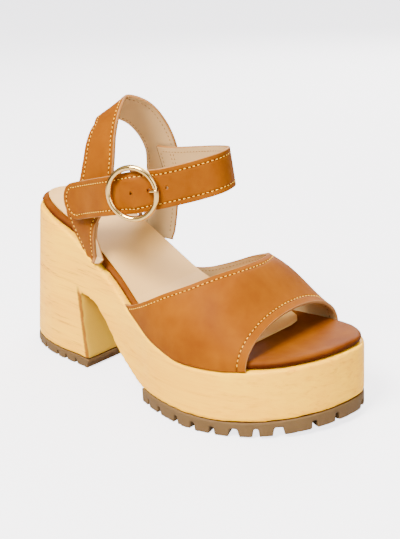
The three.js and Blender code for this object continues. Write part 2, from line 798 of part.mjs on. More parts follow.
const tab = inBuckleFrame(tabBody).subtract(inBuckleFrame(tabSlot)).add(tabTail);

// Punched holes of the strap, on both sides of the one that the prong uses
let ankle = ankleFull.subtract(prongRoom);
for (const place of strapHoles) {
  const hole = new THREE.CylinderGeometry(holeRadius, holeRadius, 4 * ringRadius, 12);
  hole.rotateX(Math.PI / 2);
  hole.translate(prongHole * ringRadius + place * holePitch, 0, 0);
  ankle = ankle.subtract(inBuckleFrame(hole));
}

const straps = sling.add(ankle);

// Colours
const finishes = {
  wood: new THREE.MeshStandardMaterial({ color: 0xf0ca8c, roughness: 0.5, metalness: 0 }),
  rubber: new THREE.MeshStandardMaterial({ color: 0xa37a51, roughness: 0.6, metalness: 0 }),
  leather: new THREE.MeshStandardMaterial({ color: 0xc97e2c, roughness: 0.45, metalness: 0 }),
  lining: new THREE.MeshStandardMaterial({ color: 0xddb788, roughness: 0.8, metalness: 0 }),
  brass: new THREE.MeshStandardMaterial({ color: 0xc9a96a, roughness: 0.3, metalness: 1 }),
};

const shoe = new THREE.Group();

function addPiece(name, solid, finish) {
  const result = solid.getMesh();
  const geometry = new THREE.BufferGeometry();
  geometry.setAttribute('position', new THREE.BufferAttribute(new Float32Array(result.vertProperties), 3));
  geometry.setIndex(new THREE.BufferAttribute(new Uint32Array(result.triVerts), 1));
  geometry.computeVertexNormals();
  const piece = new THREE.Mesh(geometry, finish);
  piece.name = name;
  shoe.add(piece);
}

addPiece('platform_sole', sole, finishes.wood);
addPiece('forefoot_outsole', foreSole, finishes.rubber);
addPiece('heel_outsole', heelSole, finishes.rubber);
addPiece('footbed', footbed, finishes.leather);
addPiece('sock_lining', sock, finishes.lining);
addPiece('vamp', vamp, finishes.leather);
addPiece('ankle_straps', straps, finishes.leather);
addPiece('buckle_tab', tab, finishes.leather);
addPiece('buckle_frame', ring, finishes.brass);
addPiece('buckle_prong', prong, finishes.brass);

// The origin is at the middle of the shoe's length and width, on the floor.
const bounds = new THREE.Box3().setFromObject(shoe);
const middle = bounds.getCenter(new THREE.Vector3());
shoe.position.set(-middle.x, -middle.y, -bounds.min.z);

const group = new THREE.Group();
group.add(shoe);

export default group;
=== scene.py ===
import math
import random

import bmesh
import bpy
import numpy as np
from mathutils import Matrix, Vector, kdtree


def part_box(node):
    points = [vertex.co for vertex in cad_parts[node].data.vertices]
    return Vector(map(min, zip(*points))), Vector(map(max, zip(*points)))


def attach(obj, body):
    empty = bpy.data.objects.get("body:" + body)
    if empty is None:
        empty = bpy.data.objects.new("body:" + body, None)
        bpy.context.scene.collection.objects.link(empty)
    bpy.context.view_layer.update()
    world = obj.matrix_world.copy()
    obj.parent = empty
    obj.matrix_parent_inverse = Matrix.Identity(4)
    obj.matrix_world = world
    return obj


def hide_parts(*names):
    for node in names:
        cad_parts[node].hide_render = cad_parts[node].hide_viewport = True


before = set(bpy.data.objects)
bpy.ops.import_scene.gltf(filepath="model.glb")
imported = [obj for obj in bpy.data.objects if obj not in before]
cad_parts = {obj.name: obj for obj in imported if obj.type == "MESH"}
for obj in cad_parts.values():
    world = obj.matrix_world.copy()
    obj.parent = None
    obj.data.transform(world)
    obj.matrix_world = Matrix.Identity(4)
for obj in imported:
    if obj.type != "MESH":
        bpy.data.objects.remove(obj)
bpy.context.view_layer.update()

# Clog sole
# One block of pale pine: block heel, arch and forefoot platform, sanded and lacquered.
# Its edges are worn soft, and a thin dark line runs down the heel's front edge.
# The heel's front face, under the arch, is darkened as painted shade.


class Shade:
    """A socket in a material's node tree, so that shader sums read as plain expressions."""

    def __init__(self, tree, socket):
        self.tree = tree
        self.socket = socket

    def link(self, target, value):
        if isinstance(value, Shade):
            self.tree.links.new(value.socket, target)
        else:
            target.default_value = value

    def node(self, kind, out=0, settings=(), **values):
        made = self.tree.nodes.new("ShaderNode" + kind)
        for key, value in dict(settings).items():
            setattr(made, key, value)
        for key, value in values.items():
            numbered = key[0] == "i" and key[1:].isdigit()
            self.link(made.inputs[int(key[1:]) if numbered else key], value)
        return Shade(self.tree, made.outputs[out])

    def math(self, operation, first, second=0.0):
        return self.node("Math", settings={"operation": operation}, i0=first, i1=second)

    def __add__(self, other):
        return self.math("ADD", self, other)

    def __radd__(self, other):
        return self.math("ADD", other, self)

    def __sub__(self, other):
        return self.math("SUBTRACT", self, other)

    def __rsub__(self, other):
        return self.math("SUBTRACT", other, self)

    def __mul__(self, other):
        return self.math("MULTIPLY", self, other)

    def __rmul__(self, other):
        return self.math("MULTIPLY", other, self)

    def between(self, low, high):
        return self.node("MapRange", Value=self, i1=low, i2=high, i3=0.0, i4=1.0)

    def part(self, axis):
        return self.node("SeparateXYZ", out=axis, i0=self)

    def size(self):
        return self.math("ABSOLUTE", self)

    def stretched(self, x, y, z):
        return self.node("VectorMath", settings={"operation": "MULTIPLY"}, i0=self, i1=(x, y, z))

    def noise(self, scale, detail=3.0, rough=0.5, warp=0.0):
        return self.node(
            "TexNoise", Vector=self, Scale=scale, Detail=detail, Roughness=rough, Distortion=warp
        )

    def mix(self, first, second):
        first, second = [v if isinstance(v, Shade) else (*v, 1.0) for v in (first, second)]
        return self.node(
            "Mix", out=2, settings={"data_type": "RGBA"}, i0=self, i6=first, i7=second
        )


def material(name, look, gloss=0.2):
    """A material; look(place) says what goes into the surface shader's sockets, by their names."""
    made = bpy.data.materials.new(name)
    made.use_nodes = True
    tree = made.node_tree
    surface = next(n for n in tree.nodes if n.type == "BSDF_PRINCIPLED")
    surface.inputs["Specular IOR Level"].default_value = gloss
    start = Shade(tree, None)
    place = start.node("TexCoord", out=3)
    for key, value in look(place).items():
        if key == "Bump":
            height, distance = value
            value = start.node("Bump", Height=height, Distance=distance, Strength=1.0)
            key = "Normal"
        if isinstance(value, tuple) and len(value) == 3:
            value = (*value, 1.0)
        start.link(surface.inputs[key], value)
    return made


def new_piece(name, mesh, looks, slot, *nodes):
    """A piece of the shoe in its looks, which may stand for CAD nodes."""
    for look in looks:
        mesh.materials.append(look)
    piece = bpy.data.objects.new(name, mesh)
    bpy.context.collection.objects.link(piece)
    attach(piece, "root")
    if nodes:
        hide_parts(*nodes)
    return piece


def softened(node, voxel, rounds):
    """The CAD node's mesh, made fine and even, with its edges worn round."""
    rough = bpy.data.objects.new("rough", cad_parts[node].data.copy())
    rough.data.materials.clear()
    bpy.context.collection.objects.link(rough)
    remesh = rough.modifiers.new("fine", "REMESH")
    remesh.mode = "VOXEL"
    remesh.voxel_size = voxel
    relax = rough.modifiers.new("relax", "SMOOTH")
    relax.factor = 0.5
    relax.iterations = rounds
    shown = rough.evaluated_get(bpy.context.evaluated_depsgraph_get())
    mesh = bpy.data.meshes.new_from_object(shown)
    bpy.data.objects.remove(rough)
    mesh.shade_smooth()
    return mesh


SOLE_VOXEL = 0.00115
SOLE_WEAR = 9
PINE = (0.97, 0.51, 0.0005)
PINE_GRAIN = (0.86, 0.36, 0.0005)
PINE_TICKS = (0.42, 0.13, 0.012)
PINE_SHADE_UNDER_ARCH = (0.45, 0.29, 0.025)
DARK_BREAST_LINE = (0.15, 0.036, 0.003)
HEEL_TREAD = 0.006
BREAST_LEAN = 0.1
LINE_BACK = 0.0014
LINE_WIDTH = 0.002
LINE_WAVER = 0.0012
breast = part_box("heel_outsole")[1].x


def wood_look(place):
    along, up = place.part(0), place.part(2)
    facing = place.node("NewGeometry", out=1)
    bent = place.stretched(9, 40, 55).noise(scale=1.0, detail=2.0, rough=0.5, warp=0.4)
    streaks = place.stretched(12, 130, 360).noise(scale=1.0, detail=4.0, rough=0.62, warp=1.4)
    fine = place.stretched(45, 700, 1900).noise(scale=1.0, detail=2.0, rough=0.6)
    grain = streaks.between(0.4, 0.72) * 0.7 + bent.between(0.35, 0.7) * 0.5
    ticks = streaks.between(0.54, 0.68) * fine.between(0.46, 0.62)
    towards_heel = along.between(0.0, -0.04) * 0.45 + 0.35
    pine = (ticks * towards_heel).mix(grain.mix(PINE, PINE_GRAIN), PINE_TICKS)
    # Painted shade: the heel's front face, under the arch, is darkened where the arch shades it
    shade_under_arch = along.between(-0.02, -0.03) * facing.part(0).between(0.35, 0.75)
    pine_with_shade = (shade_under_arch * 0.9).mix(pine, PINE_SHADE_UNDER_ARCH)
    # A thin dark line on the outer side, just behind the heel's front edge
    edge_back = (up - HEEL_TREAD) * BREAST_LEAN + LINE_BACK + (streaks - 0.5) * LINE_WAVER
    on_line = (along - breast + edge_back).size().between(LINE_WIDTH, LINE_WIDTH / 3)
    breast_line = on_line * facing.part(1).between(-0.3, -0.55) * up.between(0.056, 0.05)
    return {
        "Base Color": (breast_line * 0.9).mix(pine_with_shade, DARK_BREAST_LINE),
        "Roughness": grain * 0.1 + 0.36,
        "Coat Weight": 0.04,
        "Bump": (fine * 0.5 + streaks, 0.00012),
    }


pine_wood = material("pine", wood_look, gloss=0.08)
sole_mesh = softened("platform_sole", SOLE_VOXEL, SOLE_WEAR)
new_piece("clog_sole", sole_mesh, [pine_wood], "wood", "platform_sole")

# Outsoles
# Moulded brown rubber glued under forefoot and heel: a base sheet with lugs, cut apart by grooves
# that come in from the edge. The rubber is matt, and a little dusty.

FOREFOOT_VOXEL = 0.00062
HEEL_VOXEL = 0.0005
RUBBER_WEAR = 3
RUBBER = (0.08, 0.042, 0.014)
WORN_RUBBER = (0.12, 0.068, 0.024)


def rubber_look(place):
    dust = place.noise(scale=900.0, detail=2.0)
    return {
        "Base Color": place.noise(scale=60.0).mix(RUBBER, WORN_RUBBER),
        "Roughness": dust * 0.15 + 0.6,
        "Bump": (dust, 0.00008),
    }


rubber = material("rubber", rubber_look)
for node, voxel in (("forefoot_outsole", FOREFOOT_VOXEL), ("heel_outsole", HEEL_VOXEL)):
    new_piece(node + "_rubber", softened(node, voxel, RUBBER_WEAR), [rubber], "rubber", node)

# Footbed
# Board and foam under a tan leather cover, whose edge is rolled over into a bead all the way round.
# Where the bead turns down and under, the cover is darkened as painted shade.

COVER_VOXEL = 0.0009
COVER_WEAR = 4
COVER = (0.158, 0.043, 0.0)
COVER_CLOUD = (0.09, 0.018, 0.0)
COVER_SHADE = (0.045, 0.007, 0.0)


def leather_look(pale, dark, shine):
    def look(place):
        cloud = place.noise(scale=26.0, detail=4.0, rough=0.6, warp=0.3)
        mottle = place.noise(scale=110.0, rough=0.6)
        pores = place.noise(scale=1500.0, detail=2.0, rough=0.6)
        tone = cloud.between(0.32, 0.7) * 0.75 + mottle.between(0.35, 0.7) * 0.3
        return {
            "Base Color": tone.mix(pale, dark),
            "Roughness": pores * 0.12 + shine,
            "Bump": (pores + cloud * 2.0, 0.00007),
        }
    return look


def cover_look(place):
    looks = leather_look(COVER, COVER_CLOUD, 0.52)(place)
    # Painted shade: faces turned sideways and downwards, on the bead, are darkened
    facing_up = place.node("NewGeometry", out=1).part(2).between(-0.1, 0.85)
    looks["Base Color"] = facing_up.mix(COVER_SHADE, looks["Base Color"])
    return looks


cover = material("footbed_leather", cover_look, gloss=0.06)
bed_mesh = softened("footbed", COVER_VOXEL, COVER_WEAR)
new_piece("footbed_cover", bed_mesh, [cover], "footbed_leather", "footbed")

# Sock lining
# A thin pale lining glued on the footbed, back from its edge, with its front under the vamp.
# It is soft and matt.

SOCK = (0.63, 0.36, 0.115)
SOCK_CLOUD = (0.56, 0.31, 0.09)


def plain_copy(node, sharp_from):
    """The CAD node's mesh with smooth faces, and corners sharp from an angle in degrees."""
    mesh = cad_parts[node].data.copy()
    mesh.materials.clear()
    mesh.shade_smooth()
    mesh.set_sharp_from_angle(angle=math.radians(sharp_from))
    return mesh


def lining_look(pale, dark, shine):
    def look(place):
        nap = place.noise(scale=2200.0, detail=2.0)
        return {
            "Base Color": place.noise(scale=40.0).mix(pale, dark),
            "Roughness": nap * 0.15 + shine,
            "Bump": (nap, 0.00004),
        }
    return look


sock_cover = material("sock_lining", lining_look(SOCK, SOCK_CLOUD, 0.42))
new_piece("sock", plain_copy("sock_lining", 40), [sock_cover], "sock_leather", "sock_lining")

# Vamp
# One wide band of tan leather with a beige lining, lasted down to the wood on both sides.
# It is stitched 3 mm in from its back edge and 4.6 mm in from its front edge. Both are cut raw.

# The last, in mm: its sizes, then shares of the length in the first column of each table
SOLE_LENGTH = 236.0
BALL_WIDTH = 97.0
HEEL_WIDTH = 57.0
BALL_HEIGHT = 38.7
HEEL_HEIGHT = 99.0
INSTEP_HEIGHT = 73.6
TOE_SPRING = 4.2
SPRING_START = 0.75
OUTER_BALL = 0.545 * BALL_WIDTH
INNER_BALL = 0.455 * BALL_WIDTH
TOE_TIP_SIDE = 0.16 * BALL_WIDTH
HEEL_ROUND = 0.2
OUTER_TOE_START = 0.7
INNER_TOE_START = 0.82
SECTION_POWER = 2.1
RIDGE_BACK = 5.9
RIDGE_FRONT = 2.0
GAP = 0.3
WAIST = [
    (0.2, 0, 0), (0.3, 0.12, 0), (0.4, 0.27, 0.02), (0.5, 0.55, 0.2),
    (0.6, 0.87, 0.6), (0.7, 1, 0.9), (0.82, 1, 1),
]
SEAT = [
    (0, 1), (0.06, 0.99), (0.12, 0.935), (0.2, 0.83), (0.3, 0.645),
    (0.4, 0.425), (0.5, 0.2), (0.6, 0.07), (0.7, 0), (1, 0),
]
INSTEP = [(0.42, 1.04), (0.449, 1), (0.542, 0.885), (0.648, 0.776), (0.754, 0.639), (0.881, 0.305)]
inner_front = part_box("platform_sole")[1] * 1000
shift = np.array([inner_front.x - SOLE_LENGTH, inner_front.y - INNER_BALL, 0.0])


def smooth(rows, column):
    """Smooth curve through the rows of a table, level at both of its ends."""
    slope = [0.0] * len(rows)
    for i in range(1, len(rows) - 1):
        before = (rows[i][column] - rows[i - 1][column]) / (rows[i][0] - rows[i - 1][0])
        after = (rows[i + 1][column] - rows[i][column]) / (rows[i + 1][0] - rows[i][0])
        slope[i] = 0.0 if before * after <= 0 else 2 * before * after / (before + after)

    def at(s):
        if s <= rows[0][0]:
            return rows[0][column]
        if s >= rows[-1][0]:
            return rows[-1][column]
        i = next(k for k, row in enumerate(rows) if row[0] > s) - 1
        span = rows[i + 1][0] - rows[i][0]
        t = (s - rows[i][0]) / span
        rise = rows[i + 1][column] - rows[i][column]
        bend = t * (1 - t) * ((1 - t) * slope[i] - t * slope[i + 1]) * span
        return rows[i][column] + rise * t * t * (3 - 2 * t) + bend
    return at


def quarter(share):
    """Height of a quarter circle at a share of its radius."""
    return math.sqrt(max(0.0, 1 - share * share))


def edge_of(ball, tip, toe_start, spread):
    """Distance of the sole's edge from its middle line, on one side, along its length."""
    def edge(x):
        s = x / SOLE_LENGTH
        if s < HEEL_ROUND:
            return HEEL_WIDTH / 2 * quarter(1 - s / HEEL_ROUND)
        if s > toe_start:
            return (ball - tip) * quarter((s - toe_start) / (1 - toe_start)) + tip
        return HEEL_WIDTH / 2 + (ball - HEEL_WIDTH / 2) * spread(s)
    return edge


outer_edge = edge_of(OUTER_BALL, -TOE_TIP_SIDE, OUTER_TOE_START, smooth(WAIST, 1))
inner_edge = edge_of(INNER_BALL, TOE_TIP_SIDE, INNER_TOE_START, smooth(WAIST, 2))
seat_rise = smooth(SEAT, 1)
instep = smooth(INSTEP, 1)


def wood_top(x):
    s = x / SOLE_LENGTH
    past = max(0.0, (s - SPRING_START) / (1 - SPRING_START))
    return BALL_HEIGHT + (HEEL_HEIGHT - BALL_HEIGHT) * seat_rise(s) + TOE_SPRING * past * past


# The band, in mm and shares of the length
VAMP_WALL = 2.0
VAMP_MARGIN = 0.1
VAMP_OUTER_BACK = 0.457
VAMP_INNER_BACK = 0.431
VAMP_THROAT = 0.753
VAMP_FRONT = 0.86
THROAT_POWER = 0.85
VAMP_SEAMS = (3.0, 4.6)
ANGLES = 210
COLUMNS = 110


def last_point(x, angle):
    """Outer face of the vamp at x, from the outer side (0) over the top to the inner one (pi)."""
    outer = -outer_edge(x) + VAMP_MARGIN
    inner = inner_edge(x) - VAMP_MARGIN
    cosine = math.cos(angle)
    side = -math.copysign(abs(cosine) ** (2 / SECTION_POWER), cosine)
    arch = max(0.0, math.sin(angle)) ** (2 / SECTION_POWER)
    forward = (x / SOLE_LENGTH - VAMP_INNER_BACK) / (VAMP_FRONT - VAMP_INNER_BACK)
    ridge = RIDGE_BACK + (RIDGE_FRONT - RIDGE_BACK) * forward
    return np.array([
        x,
        (outer + inner) / 2 + (inner - outer) / 2 * side + ridge * (1 - side * side),
        wood_top(x) + GAP + INSTEP_HEIGHT * instep(x / SOLE_LENGTH) * arch,
    ])


def unit(v):
    return v / np.maximum(np.linalg.norm(v, axis=-1, keepdims=True), 1e-9)


def outward(x, angle, step=0.02):
    low = min(max(angle, step), math.pi - step)
    forward = last_point(x + 0.5, low) - last_point(x - 0.5, low)
    over = last_point(x, low + step) - last_point(x, low - step)
    return unit(np.cross(forward, over))


RIM = 0.4
RIM_TURNS = [math.radians(a) for a in (30, 60, 90, 120, 150)]


def faced_out(mesh):
    """Turns the faces of a closed mesh to the outside."""
    work = bmesh.new()
    work.from_mesh(mesh)
    bmesh.ops.recalc_face_normals(work, faces=work.faces)
    work.to_mesh(mesh)
    work.free()
    return mesh


def shell(name, mid, out, wall, press, groove, rim=RIM):
    """Closed sheet round a grid: outer face (material 0), rounded rim (1) and inner face (2)."""
    rows, columns = mid.shape[:2]
    outer = mid + out * (wall / 2 - press)[..., None]
    inner = mid - out * wall / 2
    first = unit(mid[:, 0] - mid[:, 1])
    last = unit(mid[:, -1] - mid[:, -2])
    far, near = [], []
    for a in RIM_TURNS:
        beyond, aside = rim * math.sin(a), wall / 2 * math.cos(a)
        far.append(mid[:, -1] + last * beyond + out[:, -1] * aside)
        near.append(mid[:, 0] + first * beyond - out[:, 0] * aside)
    rings = np.concatenate([outer, np.stack(far, 1), inner[:, ::-1], np.stack(near, 1)], 1)
    count = rings.shape[1]
    turns = len(RIM_TURNS)
    kinds = [0] * (columns - 1) + [1] * (turns + 1) + [2] * (columns - 1) + [1] * (turns + 1)
    faces, slots = [], []
    for r in range(rows - 1):
        for i in range(count):
            a, b = r * count + i, r * count + (i + 1) % count
            faces.append((a, b, b + count, a + count))
            slots.append(kinds[i])
    for start, flip in ((0, True), ((rows - 1) * count, False)):
        inside = columns + turns
        below = start + inside + columns - 1
        loops = [(start + i, start + i + 1, below - i - 1, below - i) for i in range(columns - 1)]
        loops.append(tuple(start + i for i in range(columns - 1, inside + 1)))
        loops.append(tuple(start + i % count for i in range(inside + columns - 1, count + 1)))
        faces += [loop if flip else loop[::-1] for loop in loops]
        slots += [1] * len(loops)
    mesh = bpy.data.meshes.new(name)
    mesh.from_pydata(((rings.reshape(-1, 3) + shift) / 1000).tolist(), [], faces)
    mesh.polygons.foreach_set("material_index", slots)
    pressed = np.zeros((rows, count))
    pressed[:, :columns] = groove
    mesh.attributes.new("groove", "FLOAT", "POINT").data.foreach_set("value", pressed.ravel())
    mesh.validate()
    mesh.shade_smooth()
    mesh.update()
    return faced_out(mesh)


def row_run(grid):
    """Length from the first point of each row of a grid to each of the row's points."""
    steps = np.linalg.norm(np.diff(grid, axis=1), axis=2)
    return np.concatenate([np.zeros((len(steps), 1)), np.cumsum(steps, 1)], 1)


def path_run(points):
    """Length from the first point of a path to each of its points."""
    return np.concatenate([[0], np.cumsum(np.linalg.norm(np.diff(points, axis=0), axis=1))])


def spot_at(points, run, s):
    return np.array([np.interp(s, run, points[:, axis]) for axis in range(3)])


def inset_from(grid, out, distance):
    """Points and normals at a distance from the first edge of a grid, measured along each row."""
    run = row_run(grid)
    points = np.array([spot_at(grid[k], run[k], distance) for k in range(len(run))])
    normals = np.array([spot_at(out[k], run[k], distance) for k in range(len(run))])
    return points, unit(normals)


GROOVE_DEPTH = 0.3
GROOVE_WIDTH = 0.6


def groove_at(distance):
    return GROOVE_DEPTH * np.exp(-((distance / GROOVE_WIDTH) ** 2))


def edge_press(mid, insets):
    """Groove under the stitches, at a distance from the first edge and one from the last edge."""
    run = row_run(mid)
    return groove_at(run - insets[0]) + groove_at(run[:, -1:] - run - insets[1])


# Creases pressed into the vamp: middle in x and y, direction in degrees, length, width and depth
VAMP_CREASES = [
    (176, -18, 100, 16, 5, 0.35), (170, -32, 80, 22, 7, 0.3), (184, 8, 95, 26, 9, 0.25),
    (160, -42, 60, 14, 5, 0.3), (150, 34, 110, 20, 7, 0.3), (190, -30, 70, 12, 5, 0.25),
]


def crease_depth(points, creases):
    depth = np.zeros(points.shape[:2])
    for x, y, turn, length, width, deep in creases:
        a = math.radians(turn)
        dx, dy = points[..., 0] - x, points[..., 1] - y
        run = (dx * math.cos(a) + dy * math.sin(a)) / (length / 2)
        off = (dy * math.cos(a) - dx * math.sin(a)) / (width / 2)
        depth += deep * np.exp(-run**2 - off**2)
    return depth


# Stitches, in mm; each is a short round body that dips into the leather at both ends
THREAD = 0.27
UNDER_THREAD = 0.2
THREAD_SIDES = 7
STITCH_PITCH = 2.7
STITCH_LENGTH = 1.5
STITCH_SHAPE = [
    (0.0, -0.25, 0.6), (0.12, 0.0, 0.9), (0.35, 0.16, 1.0),
    (0.65, 0.16, 1.0), (0.88, 0.0, 0.9), (1.0, -0.25, 0.6),
]
SWAY = 0.06
UNEVEN = 0.03
SEAM_END = 3.0
THREAD_RISE = 0.02


def stitch_runs(points, normals, start, end, seed, thread=THREAD):
    """Stitches along a path, from start to end in mm, where end counts back from the path's end."""
    draw = random.Random(seed)
    run = path_run(points)
    at = start
    runs = []
    while at + STITCH_LENGTH < run[-1] - end:
        sway = draw.uniform(-SWAY, SWAY)
        centres, radii, sides, ups = [], [], [], []
        for share, lift, thick in STITCH_SHAPE:
            s = at + STITCH_LENGTH * share
            up = unit(spot_at(normals, run, s))
            along = unit(spot_at(points, run, s + 0.2) - spot_at(points, run, s - 0.2))
            side = unit(np.cross(up, along))
            swayed = side * sway * (s - at - STITCH_LENGTH / 2)
            centres.append(spot_at(points, run, s) + up * lift + swayed)
            radii.append(thread * thick)
            sides.append(side)
            ups.append(up)
        runs.append((centres, radii, sides, ups))
        at += STITCH_PITCH * draw.uniform(1 - UNEVEN, 1 + UNEVEN)
    return runs


def both_edges(grid, out, insets, seeds, thread=THREAD):
    """Stitches along both long edges of a grid."""
    first = inset_from(grid, out, insets[0])
    last = inset_from(grid[:, ::-1], out[:, ::-1], insets[1])
    runs = stitch_runs(*first, SEAM_END, SEAM_END, seeds[0], thread)
    return runs + stitch_runs(*last, SEAM_END, SEAM_END, seeds[1], thread)


def faces_of(mid, out, press, wall):
    """Where thread lies on the outer and the inner face of a sheet."""
    top = mid + out * (wall / 2 - press + THREAD_RISE)[..., None]
    return top, mid - out * (wall / 2)


def closed_mesh(name, points, faces):
    mesh = bpy.data.meshes.new(name)
    mesh.from_pydata(points.tolist(), [], faces)
    mesh.shade_smooth()
    return faced_out(mesh)


def new_stitches(name, runs, under_runs):
    """A piece of stitches, yellow ones on the leather and beige ones on the lining."""
    verts, faces, slots = [], [], []
    for kind, row in [(0, run) for run in runs] + [(1, run) for run in under_runs]:
        base = len(verts)
        for centre, radius, side, up in zip(*row):
            for k in range(THREAD_SIDES):
                a = 2 * math.pi * k / THREAD_SIDES
                verts.append(centre + radius * (math.cos(a) * side + math.sin(a) * up))
        end = len(verts) - THREAD_SIDES
        for start in range(base, end, THREAD_SIDES):
            for k in range(THREAD_SIDES):
                a, b = start + k, start + (k + 1) % THREAD_SIDES
                faces.append((a, b, b + THREAD_SIDES, a + THREAD_SIDES))
        faces.append(tuple(base + k for k in reversed(range(THREAD_SIDES))))
        faces.append(tuple(end + k for k in range(THREAD_SIDES)))
        slots += [kind] * (len(faces) - len(slots))
    mesh = closed_mesh(name, (np.array(verts) + shift) / 1000, faces)
    mesh.polygons.foreach_set("material_index", slots)
    new_piece(name, mesh, [thread, under_thread], "upper_leather")


def thread_look(pale, dark):
    def look(place):
        ply = place.noise(scale=3000.0, detail=1.0)
        return {"Base Color": ply.mix(dark, pale), "Roughness": ply * 0.1 + 0.5}
    return look


TAN = (0.213, 0.0615, 0.0)
TAN_CLOUD = (0.142, 0.034, 0.0)
TAN_GROOVE_SHADE = (0.06, 0.011, 0.0)


def grooved_look(place):
    looks = leather_look(TAN, TAN_CLOUD, 0.5)(place)
    pressed = place.node("Attribute", out=2, settings={"attribute_name": "groove"})
    # Painted shade: the leather is darkened in the pressed groove under the stitches
    looks["Base Color"] = (pressed.between(0.08, 0.28) * 0.85).mix(looks["Base Color"], TAN_GROOVE_SHADE)
    return looks


thread = material("yellow_thread", thread_look((0.84, 0.45, 0.03), (0.74, 0.35, 0.015)))
under_thread = material("beige_thread", thread_look((0.20, 0.10, 0.032), (0.14, 0.07, 0.02)))
tan = material("tan_leather", grooved_look, gloss=0.05)
rim_leather = material("cut_edge", leather_look((0.31, 0.135, 0.035), (0.23, 0.095, 0.02), 0.6))
lining = material("lining", lining_look((0.48, 0.305, 0.135), (0.41, 0.255, 0.105), 0.62))
LINED = [tan, rim_leather, lining]

vamp_mid = np.zeros((ANGLES + 1, COLUMNS + 1, 3))
vamp_out = np.zeros((ANGLES + 1, COLUMNS + 1, 3))
for i in range(ANGLES + 1):
    angle = math.pi * i / ANGLES
    side = VAMP_OUTER_BACK + (VAMP_INNER_BACK - VAMP_OUTER_BACK) * angle / math.pi
    throat = max(0.0, math.sin(angle)) ** THROAT_POWER
    back = SOLE_LENGTH * (side + (VAMP_THROAT - side) * throat)
    for j in range(COLUMNS + 1):
        share = 0.5 - 0.5 * math.cos(math.pi * j / COLUMNS)
        x = back + (VAMP_FRONT * SOLE_LENGTH - back) * share
        normal = outward(x, angle)
        if i in (0, ANGLES):
            normal = unit(normal * [1, 1, 0])
        vamp_out[i, j] = normal
        vamp_mid[i, j] = last_point(x, angle) - normal * VAMP_WALL / 2

vamp_groove = edge_press(vamp_mid, VAMP_SEAMS)
vamp_press = vamp_groove + crease_depth(vamp_mid, VAMP_CREASES)
vamp_mesh = shell("vamp_leather", vamp_mid, vamp_out, VAMP_WALL, vamp_press, vamp_groove)
new_piece("vamp_band", vamp_mesh, LINED, "upper_leather", "vamp")
vamp_top, vamp_under = faces_of(vamp_mid, vamp_out, vamp_press, VAMP_WALL)
new_stitches(
    "vamp_stitches",
    both_edges(vamp_top, vamp_out, VAMP_SEAMS, (1, 2)),
    both_edges(vamp_under, -vamp_out, VAMP_SEAMS, (6, 7), UNDER_THREAD),
)

# Heel sling
# A loop of the same leather from one side of the footbed up round the heel to the other side.
# It is lined in beige and stitched 2.7 mm in from both edges.


def curve(points):
    """Centripetal curve through the points, as a function of a share from 0 to 1."""
    points = np.array(points, float)
    if points.ndim == 1:
        points = points[:, None]

    def at(t):
        p = min(max(t, 0.0), 1.0) * (len(points) - 1)
        i = min(int(p), len(points) - 2)
        w = p - i
        b, c = points[i], points[i + 1]
        a = points[i - 1] if i > 0 else 2 * b - c
        d = points[i + 2] if i + 2 < len(points) else 2 * c - b
        spans = [math.sqrt(np.linalg.norm(q - p)) for p, q in ((a, b), (b, c), (c, d))]
        middle = spans[1] if spans[1] > 1e-4 else 1.0
        first = spans[0] if spans[0] > 1e-4 else middle
        last = spans[2] if spans[2] > 1e-4 else middle
        t1 = ((b - a) / first - (c - a) / (first + middle) + (c - b) / middle) * middle
        t2 = ((c - b) / middle - (d - b) / (middle + last) + (d - c) / last) * middle
        bend = (3 * (c - b) - 2 * t1 - t2) * w**2 + (2 * (b - c) + t1 + t2) * w**3
        return b + t1 * w + bend
    return at


STRAP_COLUMNS = 48
MIDDLE = STRAP_COLUMNS // 2
TIP_SHARE = 0.1
TIP_NARROWEST = 0.06
column_shares = np.sin(math.pi / 2 * np.linspace(-1, 1, STRAP_COLUMNS + 1))


def ribbon(rows, samples, round_start=False, lift=None):
    """Grid and outer directions of a strap; each row is a centre, a direction across and a width."""
    path, lay, wide = [curve([row[k] for row in rows]) for k in range(3)]
    mid = np.zeros((samples + 1, STRAP_COLUMNS + 1, 3))
    out = np.zeros((samples + 1, STRAP_COLUMNS + 1, 3))
    gone = 0.0
    before = path(0)
    for i in range(samples + 1):
        t = i / samples
        if round_start and t < TIP_SHARE:
            t = t * t / TIP_SHARE
        centre = path(t)
        gone += np.linalg.norm(centre - before)
        before = centre
        tangent = unit(path(t + 1e-4) - path(t - 1e-4))
        across = lay(t)
        across = unit(across - np.dot(across, tangent) * tangent)
        normal = unit(np.cross(tangent, across))
        half = wide(t)[0] / 2 - RIM
        if round_start:
            half *= max(TIP_NARROWEST, quarter(max(0.0, 1 - gone / half)))
        for j, share in enumerate(column_shares):
            point = centre + across * half * share
            if lift:
                point = point + normal * lift(point)
            mid[i, j], out[i, j] = point, normal
    return mid, out


def normals_like(grid, row, column, facing):
    """Normals of a grid, turned so that the one at row and column points the way of facing."""
    found = unit(np.cross(np.gradient(grid, axis=0), np.gradient(grid, axis=1)))
    return -found if np.dot(found[row, column], facing) < 0 else found


# Rows down one side: share of the length on the outer and inner side, distance from the middle
# line, height and lean in degrees; then the foot on each side: share of the length and width
STRAP_TOP = 164.5
STRAP_WALL = 2.0
STRAP_SEAM = 2.7
SLING_SEAMS = (STRAP_SEAM, STRAP_SEAM)
SLING_WIDTH = 27.5
SLING_LINE = [
    (0.294, 0.294, 0, 1.0, 29.5), (0.317, 0.32, 0.114, 0.976, 28), (0.328, 0.338, 0.205, 0.908, 19),
    (0.338, 0.344, 0.268, 0.819, 8), (0.333, 0.328, 0.31, 0.724, -6), (0.3, 0.303, 0.352, 0.638, -21),
]
SLING_FOOT = {-1: (0.301, 15.0), 1: (0.311, 24.0)}
FOOT_IN_WOOD = 0.4
FOOT_ABOVE = 2.0
SLING_ROWS = 320
SLING_TOP_ROW = SLING_ROWS // 2


